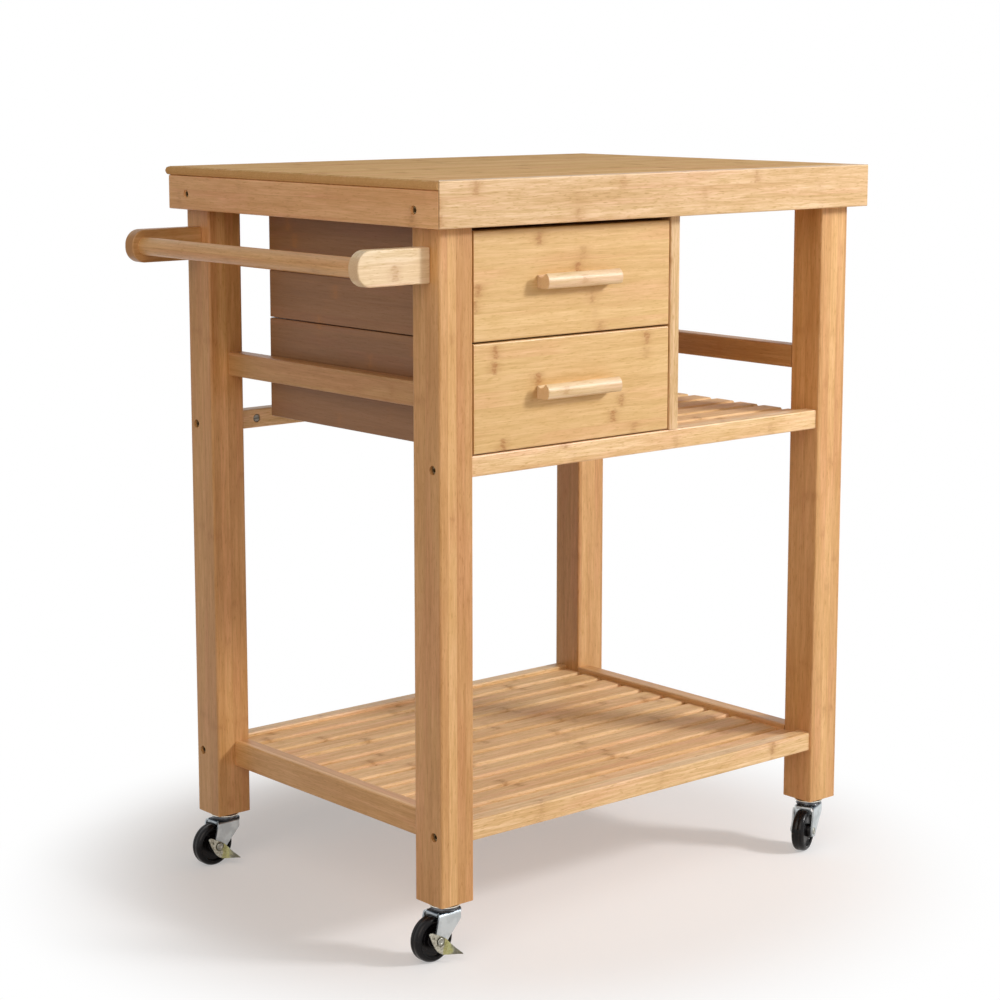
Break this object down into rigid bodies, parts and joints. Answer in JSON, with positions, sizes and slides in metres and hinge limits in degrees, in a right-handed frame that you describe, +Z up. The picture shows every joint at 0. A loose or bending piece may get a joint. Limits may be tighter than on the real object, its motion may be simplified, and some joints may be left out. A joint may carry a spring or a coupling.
{
  "type": "rolling kitchen utility cart",
  "caption": "Bamboo rolling kitchen cart with a boxed worktop, drawers beside an open bay, slatted shelves, a towel bar and swivel casters.",
  "frame": {"origin": "on the floor, at the bottom centre of the bounding box, towel bar included", "axes": "+Z up, +X to the right along the drawer fronts, +Y from the drawer fronts to the back"},
  "size_m": [0.722, 0.493, 0.823],
  "materials": {
    "bamboo": "clear satin lacquer",
    "bamboo_light": "clear satin lacquer",
    "bamboo_inner": "thin satin lacquer",
    "zinc_plate": "bright zinc plate",
    "bright_steel": "bright",
    "yellow_zinc": "yellow passivated zinc plate",
    "black_wheel": "satin black"
  },
  "bodies": {
    "frame": {"top_panel": "bamboo_light", "fascia_front": "bamboo", "fascia_rear": "bamboo", "apron_left": "bamboo", "apron_right": "bamboo", "leg_front_left": "bamboo", "leg_front_right": "bamboo", "leg_rear_left": "bamboo", "leg_rear_right": "bamboo", "mid_rail_front": "bamboo", "mid_rail_rear": "bamboo", "bottom_rail_front": "bamboo", "bottom_rail_rear": "bamboo", "bottom_rail_left": "bamboo", "bottom_rail_right": "bamboo", "guard_rail_left": "bamboo", "guard_rail_right": "bamboo", "divider": "bamboo", "mid_slat_panel": "bamboo", "bottom_slat_panel": "bamboo", "runner_upper_left": "bamboo", "runner_upper_right": "bamboo", "runner_lower_left": "bamboo", "runner_lower_right": "bamboo", "towel_arm_front": "bamboo", "towel_arm_rear": "bamboo", "towel_dowel": "bamboo", "caster_front_left_stem": "bright_steel", "caster_rear_left_stem": "bright_steel", "caster_front_right_stem": "bright_steel", "caster_rear_right_stem": "bright_steel"},
    "drawer_upper": {"drawer_upper_front": "bamboo_light", "drawer_upper_side_left": "bamboo_inner", "drawer_upper_side_right": "bamboo_inner", "drawer_upper_back": "bamboo_inner", "drawer_upper_bottom": "bamboo_light", "drawer_upper_pull": "bamboo_light"},
    "drawer_lower": {"drawer_lower_front": "bamboo_light", "drawer_lower_side_left": "bamboo_inner", "drawer_lower_side_right": "bamboo_inner", "drawer_lower_back": "bamboo_inner", "drawer_lower_bottom": "bamboo_light", "drawer_lower_pull": "bamboo_light"},
    "caster_front_left_fork": {"caster_front_left_fork": "zinc_plate", "caster_front_left_axle": "bright_steel"},
    "caster_front_left_wheel": {"caster_front_left_wheel": "black_wheel"},
    "caster_front_left_brake": {"caster_front_left_brake": "yellow_zinc"},
    "caster_rear_left_fork": {"caster_rear_left_fork": "zinc_plate", "caster_rear_left_axle": "bright_steel"},
    "caster_rear_left_wheel": {"caster_rear_left_wheel": "black_wheel"},
    "caster_rear_left_brake": {"caster_rear_left_brake": "yellow_zinc"},
    "caster_front_right_fork": {"caster_front_right_fork": "zinc_plate", "caster_front_right_axle": "bright_steel"},
    "caster_front_right_wheel": {"caster_front_right_wheel": "black_wheel"},
    "caster_rear_right_fork": {"caster_rear_right_fork": "zinc_plate", "caster_rear_right_axle": "bright_steel"},
    "caster_rear_right_wheel": {"caster_rear_right_wheel": "black_wheel"}
  },
  "joints": [
    {"name": "drawer_upper_slide", "type": "slide", "parent": "frame", "child": "drawer_upper", "axis": [0, -1, 0], "range_m": [0, 0.25]},
    {"name": "drawer_lower_slide", "type": "slide", "parent": "frame", "child": "drawer_lower", "axis": [0, -1, 0], "range_m": [0, 0.25]},
    {"name": "caster_front_left_swivel", "type": "hinge", "parent": "frame", "child": "caster_front_left_fork", "pos_m": [-0.247, -0.2065, 0.06], "axis": [0, 0, 1], "continuous": true},
    {"name": "caster_front_left_spin", "type": "hinge", "parent": "caster_front_left_fork", "child": "caster_front_left_wheel", "pos_m": [-0.26599, -0.20716, 0.025], "axis": [0.0349, -0.9994, 0], "continuous": true},
    {"name": "caster_front_left_brake_lever", "type": "hinge", "parent": "caster_front_left_fork", "child": "caster_front_left_brake", "pos_m": [-0.26599, -0.20716, 0.025], "axis": [0.0349, -0.9994, 0], "range_deg": [0, 28]},
    {"name": "caster_rear_left_swivel", "type": "hinge", "parent": "frame", "child": "caster_rear_left_fork", "pos_m": [-0.247, 0.2065, 0.06], "axis": [0, 0, 1], "continuous": true},
    {"name": "caster_rear_left_spin", "type": "hinge", "parent": "caster_rear_left_fork", "child": "caster_rear_left_wheel", "pos_m": [-0.26599, 0.20584, 0.025], "axis": [0.0349, -0.9994, 0], "continuous": true},
    {"name": "caster_rear_left_brake_lever", "type": "hinge", "parent": "caster_rear_left_fork", "child": "caster_rear_left_brake", "pos_m": [-0.26599, 0.20584, 0.025], "axis": [0.0349, -0.9994, 0], "range_deg": [0, 28]},
    {"name": "caster_front_right_swivel", "type": "hinge", "parent": "frame", "child": "caster_front_right_fork", "pos_m": [0.323, -0.2065, 0.06], "axis": [0, 0, 1], "continuous": true},
    {"name": "caster_front_right_spin", "type": "hinge", "parent": "caster_front_right_fork", "child": "caster_front_right_wheel", "pos_m": [0.30564, -0.21423, 0.025], "axis": [0.4067, -0.9135, 0], "continuous": true},
    {"name": "caster_rear_right_swivel", "type": "hinge", "parent": "frame", "child": "caster_rear_right_fork", "pos_m": [0.323, 0.2065, 0.06], "axis": [0, 0, 1], "continuous": true},
    {"name": "caster_rear_right_spin", "type": "hinge", "parent": "caster_rear_right_fork", "child": "caster_rear_right_wheel", "pos_m": [0.30474, 0.20126, 0.025], "axis": [0.2756, -0.9613, 0], "continuous": true}
  ]
}
